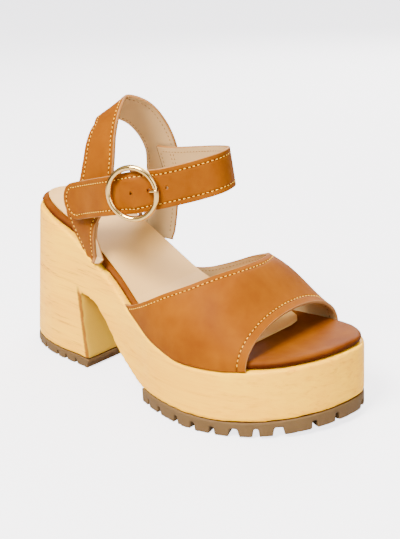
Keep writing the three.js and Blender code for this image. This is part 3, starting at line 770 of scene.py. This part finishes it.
def across_of(lean, turn):
    level = math.cos(lean)
    return np.array([level * math.cos(turn), level * math.sin(turn), math.sin(lean)])


def sling_row(row, side):
    outer_along, inner_along, off, height, lean = row
    x = (outer_along if side < 0 else inner_along) * SOLE_LENGTH
    centre = np.array([x, side * off * BALL_WIDTH, height * STRAP_TOP])
    return centre, across_of(math.radians(lean), 0.0), SLING_WIDTH


def sling_foot(side, above):
    along, width = SLING_FOOT[side]
    x = along * SOLE_LENGTH
    edge = outer_edge if side < 0 else inner_edge
    reach = SLING_WIDTH / 2
    turn = math.atan2(side * (edge(x + reach) - edge(x - reach)), 2 * reach)
    slope = math.atan2(wood_top(x + reach) - wood_top(x - reach), 2 * reach)
    centre = np.array([x, side * (edge(x) - STRAP_WALL / 2), wood_top(x) + above])
    return centre, across_of(slope, turn), width


sling_rows = [sling_foot(-1, -FOOT_IN_WOOD), sling_foot(-1, FOOT_ABOVE)]
sling_rows += [sling_row(row, -1) for row in reversed(SLING_LINE[1:])]
sling_rows += [sling_row(row, 1) for row in SLING_LINE]
sling_rows += [sling_foot(1, FOOT_ABOVE), sling_foot(1, -FOOT_IN_WOOD)]
sling_mid, sling_out = ribbon(sling_rows, SLING_ROWS)

# The foot on the outer side: its front edge flares outwards, and its lining is longer there
FLARE = 3.4
FLARE_DROP = 1.6
FLARE_ROWS = 44
FLARE_ENDS = 60
FLAP_WIDTH = 9.5
FLAP_HEIGHT = 15.0
FLAP_ROUND = 2.4
FLAP_TAPER = 0.8
FLAP_TUCK = 2.5
FLAP_LEAN = 0.45
FLAP_BEHIND = 1.5
FLAP_WALL = 0.9
FLAP_RIM = 0.2
FLAP_COLUMNS = 12
flap_up = path_run(sling_mid[:FLARE_ROWS + 1, -1])
flap_mid = np.zeros((FLARE_ROWS + 1, FLAP_COLUMNS + 1, 3))
flap_away = np.zeros((FLARE_ROWS + 1, 3))
for i, up in enumerate(flap_up):
    low = (1 - i / FLARE_ROWS) ** 2
    across = unit(sling_mid[i, -1] - sling_mid[i, 0])
    away = unit(np.array([across[1], -across[0], 0.0]))
    for j, share in enumerate(column_shares):
        front = max(0.0, share)
        drop = np.array([0, 0, FLARE_DROP * low * front])
        sling_mid[i, j] += away * FLARE * low * front**2 - drop
    narrowed = max(0.02, 1 - up / FLAP_HEIGHT) ** FLAP_TAPER
    wide = FLAP_WIDTH * narrowed * quarter(max(0.0, 1 - up / FLAP_ROUND))
    for j in range(FLAP_COLUMNS + 1):
        reach = (FLAP_TUCK + wide) * j / FLAP_COLUMNS - FLAP_TUCK
        out_by = FLAP_LEAN * low * max(0.0, reach) - FLAP_BEHIND
        flap_mid[i, j] = sling_mid[i, -1] + across * reach + away * out_by
    flap_away[i] = away
flared_out = normals_like(sling_mid, FLARE_ENDS - 1, MIDDLE, sling_out[FLARE_ENDS, MIDDLE])
sling_out[:FLARE_ENDS] = flared_out[:FLARE_ENDS]
ankle = np.array([0.45 * SOLE_LENGTH, 0.0, 120.0])
if np.dot(sling_out[SLING_TOP_ROW, MIDDLE], sling_mid[SLING_TOP_ROW, MIDDLE] - ankle) < 0:
    sling_out = -sling_out

sling_press = edge_press(sling_mid, SLING_SEAMS)
sling_mesh = shell("sling_leather", sling_mid, sling_out, STRAP_WALL, sling_press, sling_press)
new_piece("heel_sling", sling_mesh, LINED, "upper_leather")
sling_top, sling_under = faces_of(sling_mid, sling_out, sling_press, STRAP_WALL)
new_stitches(
    "sling_stitches",
    both_edges(sling_top, sling_out, SLING_SEAMS, (3, 4)),
    both_edges(sling_under, -sling_out, SLING_SEAMS, (8, 9), UNDER_THREAD),
)

flap_middle = (FLARE_ROWS // 2, FLAP_COLUMNS // 2)
flap_out = normals_like(flap_mid, *flap_middle, flap_away[flap_middle[0]])
flat = np.zeros(flap_mid.shape[:2])
flap_mesh = shell("sling_lining_end", flap_mid, flap_out, FLAP_WALL, flat, flat, FLAP_RIM)
new_piece("sling_lining_end", flap_mesh, [lining, rim_leather, lining], "upper_leather")

# Ankle strap
# A strap of the same lined leather. It runs from its round tip on the outer side, over the
# buckle's bar and round the front of the ankle, back to the inner strand of the sling, where its
# square end is sewn on.

# Rows: share of the length, of the ball width and of the strap's top height, lean in degrees
STRAP_WIDTH = 22.5
PRESSED_WIDER = 1.5
STRAP_ROWS = 420
TIP_ROWS = [(0.255, -0.383, 0.675, 2), (0.325, -0.398, 0.704, 2)]
BUCKLE_ROW = (0.517, -0.388, 0.77, 3)
FRONT_ROWS = [
    (0.634, -0.17, 0.806, 6), (0.667, -0.035, 0.824, 8), (0.651, 0.095, 0.827, 8),
    (0.588, 0.185, 0.812, 6), (0.5, 0.233, 0.792, 9), (0.41, 0.252, 0.775, 15), (0.347, 0.261, 0.77, 20),
]
BUCKLE_TURN = math.radians(23)
BUCKLE_RISE = math.radians(10)
BUCKLE_REACH = 17.0
RING_RADIUS = 14.6
RING_WIRE = 1.65
RING_SLACK = 0.7
BAR_RADIUS = 1.1
BAR_DROP = 5.0
TAB_WALL = 1.3
TAB_WIDTH = 15.0


def strap_row(row):
    along, side, height, lean = row
    centre = np.array([along * SOLE_LENGTH, side * BALL_WIDTH, height * STRAP_TOP])
    inward = unit((ankle - centre) * [1, 1, 0])
    a = math.radians(lean)
    return centre, np.array([0, 0, math.cos(a)]) + inward * math.sin(a), STRAP_WIDTH


buckle_place, buckle_up, _ = strap_row(BUCKLE_ROW)
forward_axis = unit(np.array([math.cos(BUCKLE_TURN), math.sin(BUCKLE_TURN), math.tan(BUCKLE_RISE)]))
across_axis = unit(buckle_up - np.dot(buckle_up, forward_axis) * forward_axis)
outward_axis = unit(np.cross(forward_axis, across_axis))
buckle_turn = np.stack([forward_axis, across_axis, outward_axis], 1)
strap_rows = [strap_row(row) for row in TIP_ROWS]
for share in (-1, -0.5, 0, 0.5, 1):
    centre = buckle_place + forward_axis * share * BUCKLE_REACH
    strap_rows.append((centre, buckle_up, STRAP_WIDTH + PRESSED_WIDER * (1 - share * share) ** 2))
strap_rows += [strap_row(row) for row in FRONT_ROWS]

RING_LEVEL = STRAP_WALL / 2 + RING_SLACK + RING_WIRE
RING_INSIDE = RING_RADIUS - RING_WIRE
BAR_LEVEL = RING_LEVEL - BAR_DROP
over_bar = BAR_LEVEL + BAR_RADIUS + GAP + STRAP_WALL / 2
over_tab = over_bar + GAP + TAB_WALL


def strap_lift(point):
    """How far the strap rises over the tab and the bar, inside the ring."""
    forward, across, out = (point - buckle_place) @ buckle_turn
    side = abs(across)
    reach = RING_INSIDE * quarter(min(side, STRAP_WIDTH / 2) / RING_INSIDE) - GAP
    if abs(forward) >= reach or abs(out) > RING_RADIUS:
        return 0.0
    beside_tab = min(max((side - TAB_WIDTH / 2) / (STRAP_WIDTH / 2 - TAB_WIDTH / 2), 0), 1)
    height = over_tab + (over_bar - over_tab) * beside_tab
    return height * math.cos(forward / reach * math.pi / 2) ** 2


strap_mid, strap_out = ribbon(strap_rows, STRAP_ROWS, round_start=True, lift=strap_lift)

# The square end lies on the lining of the inner strand, where it is sewn down
ON_STRAND = STRAP_WALL + 0.15
BESIDE_STRAND = 7.0
END_ROWS = 120
strand_mid = sling_mid[SLING_TOP_ROW:].reshape(-1, 3)
strand_out = sling_out[SLING_TOP_ROW:].reshape(-1, 3)
tree = kdtree.KDTree(len(strand_mid))
for k, point in enumerate(strand_mid):
    tree.insert(point, k)
tree.balance()
for i in range(STRAP_ROWS + 1 - END_ROWS, STRAP_ROWS + 1):
    for j in range(STRAP_COLUMNS + 1):
        near, k, _ = tree.find(strap_mid[i, j])
        off = strap_mid[i, j] - np.array(near)
        above = -np.dot(off, strand_out[k])
        beside = np.linalg.norm(off + above * strand_out[k])
        push = max(0.0, ON_STRAND - above) * math.exp(-((beside / BESIDE_STRAND) ** 2))
        strap_mid[i, j] -= strand_out[k] * push
laid_out = normals_like(strap_mid, -1, MIDDLE, strap_out[-1, MIDDLE])
strap_out[-END_ROWS:] = laid_out[-END_ROWS:]

# Distance from the long edges and the round tip, for the groove under the stitches
half_strap = STRAP_WIDTH / 2
centre_line = strap_mid[:, MIDDLE]
centre_run = path_run(centre_line)
across_run = row_run(strap_mid)
from_side = np.minimum(across_run, across_run[:, -1:] - across_run)
off_middle = across_run - across_run[:, -1:] / 2
from_tip = half_strap - np.hypot(half_strap - centre_run[:, None], off_middle)
strap_edge = np.where(centre_run[:, None] < half_strap, from_tip, from_side)
strap_press = groove_at(strap_edge - STRAP_SEAM)
strap_mesh = shell("strap_leather", strap_mid, strap_out, STRAP_WALL, strap_press, strap_press)

# The lining is darkened along the square end, partly as edge ink and partly as painted shade where the
# end meets the strand: the last row of faces before the two caps
INKED_AND_SHADED = 3
cap_faces = 2 * (STRAP_COLUMNS + 2)
row_faces = 2 * (STRAP_COLUMNS + len(RIM_TURNS) + 1)
for face in strap_mesh.polygons[-row_faces - cap_faces:]:
    if face.material_index == 2:
        face.material_index = INKED_AND_SHADED
inked_and_shaded_edge = material("inked_and_shaded_edge", leather_look((0.045, 0.022, 0.008), (0.03, 0.015, 0.005), 0.6))
strap = new_piece("ankle_strap", strap_mesh, LINED + [inked_and_shaded_edge], "upper_leather", "ankle_straps")

# One seam runs up one edge, round the tip and back down the other edge
TIP_STEPS = 24
TIP_RISE = 0.2
BUCKLE_END = 12.0
END_SEAMS = ((STRAP_SEAM, 11), (11.5, 12), (14.0, 13))


def past_tip(line, reach):
    keep = centre_run > reach
    return line[0][keep], line[1][keep]


def edge_lines(grid, out):
    return inset_from(grid, out, STRAP_SEAM), inset_from(grid[:, ::-1], out[:, ::-1], STRAP_SEAM)


strap_top, strap_under = faces_of(strap_mid, strap_out, strap_press, STRAP_WALL)
tip_radius = half_strap - STRAP_SEAM
tip_row = int(np.searchsorted(centre_run, half_strap)) + 1
tip_across = unit(strap_mid[tip_row, 0] - strap_mid[tip_row, -1])
tip_out = strap_out[tip_row, 0]
tip_points = []
for k in range(TIP_STEPS + 1):
    a = math.pi * k / TIP_STEPS
    spot = spot_at(centre_line, centre_run, half_strap - tip_radius * math.sin(a))
    raised = tip_out * (STRAP_WALL / 2 - TIP_RISE)
    tip_points.append(spot + tip_across * tip_radius * math.cos(a) + raised)
upper, lower = [past_tip(line, half_strap) for line in edge_lines(strap_top, strap_out)]
whole = np.concatenate([upper[0][::-1], tip_points, lower[0]])
whole_out = np.concatenate([upper[1][::-1], [tip_out] * len(tip_points), lower[1]])
strap_runs = stitch_runs(whole, whole_out, BUCKLE_END, BUCKLE_END, 5)
under_runs = []
for line in edge_lines(strap_under, -strap_out):
    sewn = past_tip(line, STRAP_WIDTH)
    under_runs += stitch_runs(*sewn, SEAM_END, STRAP_SEAM, 10, UNDER_THREAD)
end_grid = strap_under.transpose(1, 0, 2)[:, ::-1]
end_out = -strap_out.transpose(1, 0, 2)[:, ::-1]
for inset, seed in END_SEAMS:
    sewn = inset_from(end_grid, end_out, inset)
    under_runs += stitch_runs(*sewn, STRAP_SEAM, STRAP_SEAM, seed, UNDER_THREAD)
new_stitches("strap_stitches", strap_runs, under_runs)

# Buckle tab
# A narrower strip of the same leather, wrapped round the buckle's bar.
# Both of its ends are sewn on the outer strand, behind the strap.

new_piece("tab", plain_copy("buckle_tab", 35), [tan], "upper_leather", "buckle_tab")

# Buckle
# A round ring with a bar across it, both of metal with a polished pale gold plating.
# A short prong is hooked round the bar, and its point rests on the ring's front.

RING_STEPS = 120
WIRE_STEPS = 28
ROD_STEPS = 90
ROD_SIDES = 20
BAR_INSET = 0.5
BAR_BEND = 1.2
BAR_CORNER = 1.0
PRONG_RADIUS = 0.9
HOOK_DEGREES = range(120, 301, 30)
PRONG_LEAVE = 0.34
PRONG_UNDER = 0.5
PRONG_HOLE = 0.64
PRONG_OVERHANG = 1.2
PRONG_DROOP = 0.2


def gold_look(colour):
    def look(place):
        haze = place.noise(scale=400.0, detail=2.0)
        return {"Base Color": colour, "Metallic": 1.0, "Roughness": haze * 0.05 + 0.12}
    return look


gold = material("pale_gold", gold_look((0.72, 0.46, 0.15)))
# The bar has the same plating as the ring; its darker gold is painted shade
gold_in_shade = material("gold_in_shade", gold_look((0.34, 0.21, 0.08)))


def in_buckle(points):
    return (np.array(points, float) @ buckle_turn.T + buckle_place + shift) / 1000


verts, faces = [], []
for i in range(RING_STEPS):
    a = 2 * math.pi * i / RING_STEPS
    for j in range(WIRE_STEPS):
        b = 2 * math.pi * j / WIRE_STEPS
        reach = RING_RADIUS + RING_WIRE * math.cos(b)
        verts.append((reach * math.cos(a), reach * math.sin(a), RING_LEVEL + RING_WIRE * math.sin(b)))
        here, across = i * WIRE_STEPS + j, i * WIRE_STEPS + (j + 1) % WIRE_STEPS
        ahead = [(v + WIRE_STEPS) % (RING_STEPS * WIRE_STEPS) for v in (here, across)]
        faces.append((here, ahead[0], ahead[1], across))
ring = closed_mesh("ring", in_buckle(verts), faces)
new_piece("buckle_ring", ring, [gold], "buckle_metal", "buckle_frame")


def rod_mesh(name, points, radius):
    """Round rod through points of the buckle's frame, with round ends."""
    path = curve(points)
    centres = [path(k / ROD_STEPS) for k in range(ROD_STEPS + 1)]
    run = path_run(np.array(centres))
    verts, faces = [], []
    for k, centre in enumerate(centres):
        from_end = min(run[k], run[-1] - run[k])
        thick = radius * quarter(max(0.0, 1 - from_end / radius) * 0.98)
        along = unit(path((k + 0.5) / ROD_STEPS) - path((k - 0.5) / ROD_STEPS))
        side = np.array([0.0, 1.0, 0.0] if abs(along[1]) < 0.7 else [1.0, 0.0, 0.0])
        up = unit(np.cross(along, side))
        other = np.cross(up, along)
        for j in range(ROD_SIDES):
            a = 2 * math.pi * j / ROD_SIDES
            verts.append(centre + thick * (math.cos(a) * up + math.sin(a) * other))
    for start in range(0, ROD_STEPS * ROD_SIDES, ROD_SIDES):
        for j in range(ROD_SIDES):
            a, b = start + j, start + (j + 1) % ROD_SIDES
            faces.append((a, b, b + ROD_SIDES, a + ROD_SIDES))
    faces.append(tuple(reversed(range(ROD_SIDES))))
    faces.append(tuple(ROD_STEPS * ROD_SIDES + j for j in range(ROD_SIDES)))
    return closed_mesh(name, in_buckle(verts), faces)


bar_end = RING_RADIUS - BAR_INSET
half_bar = [
    (0, bar_end - BAR_CORNER, BAR_LEVEL), (0, bar_end, BAR_LEVEL + BAR_BEND), (0, bar_end, RING_LEVEL),
]
bar_points = [(x, -y, z) for x, y, z in reversed(half_bar)] + [(0, 0, BAR_LEVEL)] + half_bar
bar = rod_mesh("bar", bar_points, BAR_RADIUS)
new_piece("buckle_bar", bar, [gold_in_shade], "buckle_metal")

hook = BAR_RADIUS + GAP + PRONG_RADIUS
tip_level = RING_LEVEL + RING_WIRE + GAP + PRONG_RADIUS
prong_points = []
for degrees in HOOK_DEGREES:
    a = math.radians(degrees)
    prong_points.append((hook * math.cos(a), 0, BAR_LEVEL + hook * math.sin(a)))
prong_points += [
    (PRONG_LEAVE * RING_RADIUS, 0, BAR_LEVEL - hook),
    (PRONG_UNDER * RING_RADIUS, 0, BAR_LEVEL),
    (PRONG_HOLE * RING_RADIUS, 0, STRAP_WALL / 2),
    (RING_INSIDE - PRONG_RADIUS, 0, tip_level - PRONG_RADIUS),
    (RING_RADIUS, 0, tip_level),
    (RING_RADIUS + PRONG_OVERHANG * RING_WIRE, 0, tip_level - PRONG_DROOP),
]
prong = rod_mesh("prong", prong_points, PRONG_RADIUS)
new_piece("buckle_tongue", prong, [gold], "buckle_metal", "buckle_prong")

# Strap holes
# Punched through the strap in one row, 10.5 mm apart.
# The prong fills the middle one of the three.

HOLE_PITCH = 10.5
HOLE_RADIUS = 0.85
HOLE_SIDES = 24
PUNCH_LENGTH = 0.012
punches = []
for place in (-1, 0, 1):
    radius = HOLE_RADIUS if place else PRONG_RADIUS + GAP
    bpy.ops.mesh.primitive_cylinder_add(
        vertices=HOLE_SIDES, radius=radius / 1000, depth=PUNCH_LENGTH
    )
    punch = bpy.context.object
    spot = in_buckle([(PRONG_HOLE * RING_RADIUS + place * HOLE_PITCH, 0, 0)])[0]
    punch.matrix_world = Matrix.Translation(Vector(spot)) @ Matrix(buckle_turn.tolist()).to_4x4()
    punches.append(punch)
    hole = strap.modifiers.new("hole", "BOOLEAN")
    hole.operation = "DIFFERENCE"
    hole.solver = "EXACT"
    hole.object = punch
punched = strap.evaluated_get(bpy.context.evaluated_depsgraph_get())
punched_mesh = bpy.data.meshes.new_from_object(punched)
strap.modifiers.clear()
strap.data = punched_mesh
for punch in punches:
    bpy.data.objects.remove(punch)

# Floor
# A plain pale sheet that the shoe stands on, which runs out to the horizon.
# The camera sees it evenly pale, and it still takes soft shadows.

FLOOR_SIZE = 60
FLOOR = (0.5, 0.495, 0.5)
FLOOR_GLOW = (0.9, 0.88, 0.92)
GLOW_STRENGTH = 3.4
bpy.ops.mesh.primitive_plane_add(size=FLOOR_SIZE, location=(0, 0, 0))
floor = bpy.context.object
floor.name = "floor"


def floor_look(place):
    seen = place.node("LightPath", out=0)
    glow = seen.mix((0.0, 0.0, 0.0), FLOOR_GLOW)
    return {"Base Color": FLOOR, "Roughness": 0.9, "Emission Color": glow}


paper = material("floor", floor_look)
paper.node_tree.nodes["Principled BSDF"].inputs["Emission Strength"].default_value = GLOW_STRENGTH
floor.data.materials.append(paper)

# Light
# Soft studio light: one strong window high on the buckle's side, weaker ones from the toe's side,
# from behind and from above, and a pale room round them.

WARM = (1, 0.97, 0.92)
MILD = (1, 0.98, 0.95)
ROOM_LOW = (0.16, 0.16, 0.17)
ROOM_HIGH = (0.95, 0.95, 0.97)
ROOM_SEEN = (4.1, 4.0, 4.15)
ROOM_STRENGTH = 0.75


def window(name, place, target, size, power, colour=(1, 1, 1)):
    lamp = bpy.data.lights.new(name, "AREA")
    lamp.shape = "RECTANGLE"
    lamp.size, lamp.size_y = size, size
    lamp.energy = power
    lamp.color = colour
    holder = bpy.data.objects.new(name, lamp)
    bpy.context.collection.objects.link(holder)
    holder.location = place
    aim = Vector(target) - Vector(place)
    holder.rotation_euler = aim.to_track_quat("-Z", "Y").to_euler()


window("key", (0.1, -1.0, 1.3), (0, 0, 0.05), size=0.6, power=104, colour=WARM)
window("fill", (1.5, -0.5, 0.7), (0, 0, 0.06), size=1.0, power=20, colour=MILD)
window("back", (-0.5, 1.3, 0.9), (0, 0, 0.06), size=1.0, power=42, colour=MILD)
window("top", (0.2, 0.4, 1.6), (0, 0, 0), size=1.4, power=16)
world = bpy.data.worlds.new("room")
world.use_nodes = True
air = Shade(world.node_tree, None)
room = air.node("TexCoord", out=0).part(2).between(0.05, 0.75).mix(ROOM_LOW, ROOM_HIGH)
background = world.node_tree.nodes["Background"]
air.link(background.inputs["Color"], air.node("LightPath", out=0).mix(room, ROOM_SEEN))
background.inputs["Strength"].default_value = ROOM_STRENGTH
bpy.context.scene.world = world

# Camera
# The photograph's own viewpoint and roll, aimed at the middle of the shoe.
# It stays upright in the frame's height, so the angle is that of the height.

VIEW_FROM = Vector((0.4269, -0.42226, 0.27259))
VIEW_TO = Vector((0.0282, 0.0, 0.0746))
VIEW_ROLL = math.radians(-2.84)
VIEW_ANGLE = math.radians(29.0)
camera = bpy.data.objects.new("camera", bpy.data.cameras.new("camera"))
bpy.context.collection.objects.link(camera)
level = (VIEW_TO - VIEW_FROM).to_track_quat("-Z", "Y").to_matrix()
rolled = (level @ Matrix.Rotation(VIEW_ROLL, 3, "Z")).to_4x4()
camera.matrix_world = Matrix.Translation(VIEW_FROM) @ rolled
camera.data.sensor_fit = "VERTICAL"
camera.data.angle = VIEW_ANGLE
bpy.context.scene.camera = camera
